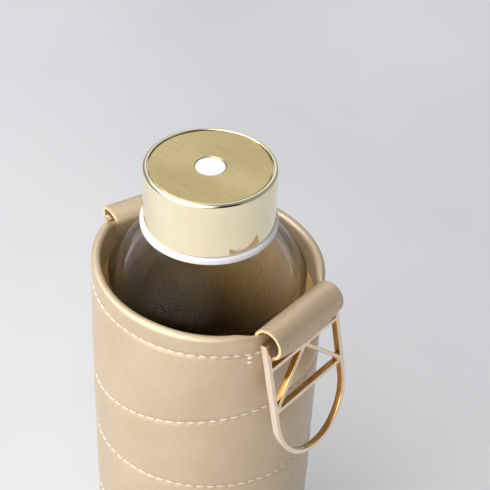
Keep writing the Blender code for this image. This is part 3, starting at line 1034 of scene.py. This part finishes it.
def make_handle(where, surfaces):
    """The cast lattice handle, with softly rounded edges."""
    name = where + "_lattice_handle"
    curve = bpy.data.curves.new(name, "CURVE")
    curve.dimensions = "2D"
    curve.fill_mode = "BOTH"
    curve.extrude = HANDLE_DEPTH / 2 - HANDLE_BEVEL
    curve.bevel_depth = HANDLE_BEVEL
    curve.bevel_resolution = 3
    curve.offset = -HANDLE_BEVEL
    for outline in handle_outlines():
        spline = curve.splines.new("POLY")
        spline.points.add(len(outline) - 1)
        for point, (u, v) in zip(spline.points, outline):
            point.co = (u, v, 0.0, 1.0)
        spline.use_cyclic_u = True
    helper = linked(name + "_curve", curve)
    graph = bpy.context.evaluated_depsgraph_get()
    mesh = bpy.data.meshes.new_from_object(helper.evaluated_get(graph))
    bpy.data.objects.remove(helper, do_unlink=True)
    bm = bmesh.new()
    bm.from_mesh(mesh)
    bmesh.ops.remove_doubles(bm, verts=bm.verts[:], dist=TINY)
    bm.to_mesh(mesh)
    bm.free()
    mesh.materials.clear()
    # Painted shade: the sides of the bars that face a window get the darker gold, the front, back
    # and outer rim the satin gold.
    for polygon in mesh.polygons:
        edge_on = abs(polygon.normal.z) < EDGE_ON_BELOW
        polygon.material_index = int(edge_on and faces_a_window(polygon.center))
    stand_up = Matrix(((0, 0, 1), (1, 0, 0), (0, 1, 0))).to_4x4()
    tilt = Matrix.Rotation(-HANDLE_TILT, 4, "Y")
    turn = Matrix.Rotation(HANDLE_ANGLES[where], 4, "Z")
    mesh.transform(turn @ Matrix.Translation((BAR_X, 0.0, BAR_Z)) @ tilt @ stand_up)
    obj = new_object(name, mesh, surfaces, HANDLE_SMOOTH_ANGLE)
    return place(obj, where + "_handle", "rose_gold", where + "_handle")


# -------- glass and cap


def shoulder(radius, neck, bottom, top, steps=30):
    """Outline of the shoulder, from the body up to the neck."""
    return [
        (
            neck + (radius - neck) * cos(pi / 2 * i / steps) ** SHOULDER_POWER,
            bottom + (top - bottom) * sin(pi / 2 * i / steps) ** SHOULDER_POWER,
        )
        for i in range(1, steps)
    ]


def helix_ridge(z, angles, start, turns):
    """Share of a screw thread's height at each angle, for a ridge that rises one pitch per turn."""
    share = 0 * angles
    for k in range(-1, int(turns) + 2):
        along = angles / TURN + k
        rise = start + THREAD_PITCH * along
        starts = smooth_step(along, 0.0, THREAD_RUN_OUT)
        ends = smooth_step(along, turns - THREAD_RUN_OUT, turns)
        flank = smooth_step(np.abs(z - rise), THREAD_CREST, THREAD_HALF_WIDTH)
        share = np.maximum(share, starts * (1 - ends) * (1 - flank))
    return share


def neck_relief(radius, z, angles):
    if radius < NECK_RADIUS - RELIEF_MARGIN or z < NECK_BOTTOM:
        return 0 * angles
    return THREAD_HEIGHT * helix_ridge(z, angles, THREAD_START, THREAD_TURNS)


def make_glass():
    """The clear bottle, with a hollow underside and a screw thread on its neck."""
    r, wall, lip = GLASS_RADIUS, GLASS_WALL, GLASS_LIP
    corner, inside_corner = GLASS_CORNER, INSIDE_FLOOR_CORNER
    inside_floor = GLASS_BOTTOM + INSIDE_FLOOR
    inner, bore = r - wall, NECK_RADIUS - wall
    underside = [(radius, GLASS_BOTTOM + rise) for radius, rise in UNDERSIDE]
    dome = [(radius, inside_floor + rise) for radius, rise in FLOOR_DOME]
    outline = underside[:1] + finer(underside[1:3], DISC_STEP) + underside[3:]
    outline += arc(r - corner, GLASS_BOTTOM + corner, corner, -90, 0, 12)
    side = [(r, GLASS_BOTTOM + GLASS_SIDE_FROM), (r, SHOULDER_BOTTOM)]
    outline += finer(side, WALL_STEP)
    outline += shoulder(r, NECK_RADIUS, SHOULDER_BOTTOM, NECK_BOTTOM)
    neck = [(NECK_RADIUS, NECK_BOTTOM), (NECK_RADIUS, NECK_TOP - lip)]
    outline += finer(neck, THREAD_STEP)
    outline += arc(NECK_RADIUS - lip, NECK_TOP - lip, lip, 15, 90, 5)
    outline += arc(bore + lip, NECK_TOP - lip, lip, 90, 180, 5)
    outline += finer([(bore, NECK_TOP - 2 * lip), (bore, NECK_BOTTOM - wall)], CAP_STEP)
    inside = shoulder(inner, bore, SHOULDER_BOTTOM - wall / 2, NECK_BOTTOM - wall)
    outline += list(reversed(inside))
    inside_wall = [
        (inner, SHOULDER_BOTTOM - wall / 2),
        (inner, inside_floor + 2 * inside_corner),
    ]
    outline += finer(inside_wall, WALL_STEP)
    outline += arc(
        inner - inside_corner, inside_floor + inside_corner, inside_corner, 0, -90, 10
    )
    outline += finer(dome[:2], DISC_STEP) + dome[2:]
    obj = turned("clear_bottle", outline, clear_glass(), GLASS_COLUMNS, neck_relief)
    return place(obj, "bottle", "clear_glass", "glass_bottle")


def disc_outline(radius, bottom, top, edge, crown=0.0):
    """Outline of a flat disc with round edges, whose top may be domed."""
    outline = [(0.0, bottom)] + finer([(0.002, bottom), (radius - edge, bottom)], DISC_STEP)
    outline += arc(radius - edge, bottom + edge, edge, -75, 0, 4)
    outline += arc(radius - edge, top - edge, edge, 0, 90, 6)
    reach = radius - edge
    for k in range(1, 12):
        r = reach * (1 - k / 12)
        outline.append((r, top + crown * (1 - (r / reach) ** 2)))
    return outline + [(0.0, top + crown)]


def node_disc(name, node, edge, surface, crown=0.0, columns=96):
    """A turned disc in the place of a CAD node."""
    low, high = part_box(node)
    outline = disc_outline(high.y, low.z, high.z - crown, edge, crown)
    return turned(name, outline, surface, columns)


def make_cap_shell():
    """Polished shell with a raised bead round its recessed top."""
    r, edge, bead, rim = CAP_RADIUS, CAP_EDGE_ROUND, CAP_BEAD, CAP_RIM
    inner = r - CAP_WALL
    web_top, web_bottom = CAP_WEB_TOP, CAP_WEB_TOP - CAP_WALL
    outline = [(0.0, web_top)]
    outline += finer([(INNERMOST, web_top), (CAP_BEAD_INNER, web_top)], DISC_STEP)
    outline += arc(CAP_BEAD_INNER + bead, CAP_TOP - bead, bead, 180, 90, 5)
    outline += arc(r - edge, CAP_TOP - edge, edge, 88, 0, 12)
    side = [(r, CAP_TOP - edge - bead), (r, CAP_BOTTOM + 2 * rim)]
    outline += finer(side, CAP_SIDE_STEP)
    outline += arc(r - rim, CAP_BOTTOM + rim, rim, 0, -90, 4)
    outline += [(inner + 0.0001, CAP_BOTTOM)]
    outline += finer([(inner, CAP_BOTTOM + 0.0002), (inner, web_bottom)], CAP_STEP)
    under = [(inner - INSIDE_CORNER, web_bottom), (INNERMOST, web_bottom)]
    outline += finer(under, DISC_STEP) + [(0.0, web_bottom)]
    obj = turned("gold_cap_shell", outline, polished_gold())
    return place(obj, "cap", "polished_gold", "cap_shell")


def make_cap_plate():
    """Brushed plate in the recess of the cap, round a plain white inlay."""
    low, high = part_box("cap_top_plate")
    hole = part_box("cap_round_inlay")[1].y + PLATE_GAP
    edge = PLATE_EDGE
    outline = finer([(hole, low.z), (high.y - 0.0001, low.z)], DISC_STEP)
    outline += arc(high.y - edge, high.z - edge, edge, 0, 90, 5)
    outline += finer([(high.y - 0.0006, high.z), (hole + PLATE_GAP, high.z)], CAP_STEP)
    outline += [(hole, high.z - PLATE_GAP)]
    plate = turned("brushed_cap_plate", outline, brushed_gold())
    place(plate, "cap", "brushed_gold", "cap_top_plate")
    inlay = node_disc("round_cap_inlay", "cap_round_inlay", 0.0003, white_plastic(), 0.0002)
    place(inlay, "cap", "white_plastic", "cap_round_inlay")


def liner_relief(radius, z, angles):
    if abs(radius - LINER_BORE) > RELIEF_MARGIN or z < LINER_FLANGE_BOTTOM + LINER_EDGE:
        return 0 * angles
    ridge = helix_ridge(z, angles, THREAD_START - THREAD_PITCH / 2, THREAD_TURNS)
    return -LINER_THREAD_HEIGHT * ridge


def make_cap_liner():
    """White threaded liner, whose flange shows as a ring under the shell."""
    gap, edge, bore, chamfer = LINER_GAP, LINER_EDGE, LINER_BORE, LINER_CHAMFER
    web_top = CAP_WEB_TOP - CAP_WALL - gap
    web_bottom = web_top - LINER_WEB
    outer = CAP_RADIUS - CAP_WALL - gap
    flange, bottom, top = LINER_FLANGE_RADIUS, LINER_FLANGE_BOTTOM, CAP_BOTTOM - gap
    outline = [(0.0, web_top)]
    outline += finer([(INNERMOST, web_top), (outer - gap, web_top)], DISC_STEP)
    outline += finer([(outer, web_top - gap), (outer, top)], CAP_STEP)
    outline += arc(flange - edge, top - edge, edge, 90, 0, 6)
    outline += arc(flange - edge, bottom + edge, edge, 0, -90, 6)
    outline += [(bore + chamfer, bottom)]
    outline += finer([(bore, bottom + chamfer), (bore, web_bottom)], THREAD_STEP)
    under = [(bore - INSIDE_CORNER, web_bottom), (INNERMOST, web_bottom)]
    outline += finer(under, DISC_STEP) + [(0.0, web_bottom)]
    surface = white_plastic()
    obj = turned("white_cap_liner", outline, surface, LINER_COLUMNS, liner_relief)
    return place(obj, "cap", "white_plastic", "cap_liner")


def make_discs():
    """The seal in the cap, and the layers of the sleeve's base."""
    seal = node_disc("silicone_seal", "cap_seal", 0.0003, milky_silicone())
    place(seal, "seal", "silicone", "cap_seal")
    leather = bpy.data.materials["champagne_leather_grain"]
    cover = node_disc("leather_base", "base_cover", 0.0004, leather)
    place(cover, "sleeve", "champagne_leather", "base_cover")
    board = node_disc("base_board", "base_stiffener", 0.0002, grey_board())
    place(board, "sleeve", "stiff_board", "base_stiffener")
    # The base cushion takes the lining's colours, so the lining's painted shade makes it near black
    # this low down.
    lining = bpy.data.materials["brushed_lining_painted_shade"]
    pad = node_disc("base_cushion", "base_pad", 0.0005, lining, 0.0002)
    place(pad, "sleeve", "dark_lining", "base_pad")


# -------- stage

AIM = Vector((0.00924, 0.01059, 0.20355))
CAMERA_DISTANCE = 0.5124
CAMERA_AZIMUTH = radians(-51.5)
CAMERA_ELEVATION = radians(38.92)
CAMERA_ROLL = radians(2.74)
CAMERA_LENS = 98.8
CAMERA_SENSOR = 36.0
CAMERA_CLIP = 0.01
FLOOR_HALF_SIZE = 4.0

SKY_COLOUR = (0.86, 0.92, 1.0)
SKY_STRENGTH = 0.34
LEAST_LIGHT = 0.03
# Each soft window, or dark part of the room: azimuth, elevation, angle where it fades out,
# strength and colour
WINDOWS = (
    (-88, 36, 50, 3.8, (1.0, 0.99, 0.98)),
    (-165, 60, 30, 2.4, (1.0, 0.99, 0.98)),
    (-152, 48, 8, 24.0, (1.0, 1.0, 1.0)),
    (128, 40, 34, 0.6, (1.0, 1.0, 1.0)),
    (-42, 20, 50, -0.75, (0.95, 0.98, 1.0)),
)


def direction(azimuth, elevation):
    """Unit vector from the object towards an azimuth and elevation."""
    return Vector((cos(elevation) * cos(azimuth), cos(elevation) * sin(azimuth), sin(elevation)))


def make_camera():
    data = bpy.data.cameras.new("camera")
    data.lens = CAMERA_LENS
    data.sensor_width = CAMERA_SENSOR
    data.clip_start = CAMERA_CLIP
    camera = linked("camera", data)
    camera.location = AIM + direction(CAMERA_AZIMUTH, CAMERA_ELEVATION) * CAMERA_DISTANCE
    look = (AIM - camera.location).to_track_quat("-Z", "Y").to_matrix()
    camera.rotation_euler = (look @ Matrix.Rotation(CAMERA_ROLL, 3, "Z")).to_euler()
    bpy.context.scene.camera = camera


def vector_math(tree, operation, *values):
    """A vector math node. Each value is another node's output or a plain vector."""
    made = tree.nodes.new("ShaderNodeVectorMath")
    made.operation = operation
    for value, socket in zip(values, made.inputs):
        if isinstance(value, bpy.types.NodeSocket):
            tree.links.new(value, socket)
        else:
            socket.default_value = value
    return made.outputs


def light_the_room(tree):
    """A dim sky with a few wide, soft-edged windows in it."""
    background = tree.nodes["Background"]
    background.inputs["Strength"].default_value = 1.0
    ray = tree.nodes.new("ShaderNodeTexCoord").outputs["Generated"]
    total = tree.nodes.new("ShaderNodeRGB").outputs[0]
    total.default_value = (*(SKY_STRENGTH * c for c in SKY_COLOUR), 1.0)
    for azimuth, elevation, spread, strength, colour in WINDOWS:
        middle = direction(radians(azimuth), radians(elevation))
        glow = tree.nodes.new("ShaderNodeMapRange")
        glow.interpolation_type = "SMOOTHSTEP"
        glow.inputs["From Min"].default_value = cos(radians(spread))
        glow.inputs["From Max"].default_value = 1.0
        towards = vector_math(tree, "DOT_PRODUCT", ray, middle)["Value"]
        tree.links.new(towards, glow.inputs["Value"])
        light = [strength * c for c in colour]
        total = vector_math(tree, "MULTIPLY_ADD", glow.outputs["Result"], light, total)["Vector"]
    total = vector_math(tree, "MAXIMUM", total, (LEAST_LIGHT,) * 3)["Vector"]
    tree.links.new(total, background.inputs["Color"])


def make_stage():
    bm = bmesh.new()
    bmesh.ops.create_grid(bm, x_segments=1, y_segments=1, size=FLOOR_HALF_SIZE)
    mesh = bpy.data.meshes.new("floor")
    bm.to_mesh(mesh)
    bm.free()
    mesh.materials.append(pale_floor())
    floor = linked("floor", mesh)
    world = bpy.data.worlds.new("studio")
    world.use_nodes = True
    light_the_room(world.node_tree)
    bpy.context.scene.world = world
    bpy.context.scene.view_settings.view_transform = "Standard"


def main():
    make_camera()
    make_stage()
    make_leather_wall()
    make_wall_layers()
    make_stitching()
    leather = bpy.data.materials["champagne_leather_grain"]
    edge, golds = raw_leather_edge(), [rose_gold(), gold_with_painted_shade()]
    for where in PLACES:
        make_loop(where, leather, edge)
        make_handle(where, golds)
    make_glass()
    make_cap_shell()
    make_cap_plate()
    make_cap_liner()
    make_discs()


main()
bpy.context.view_layer.update()
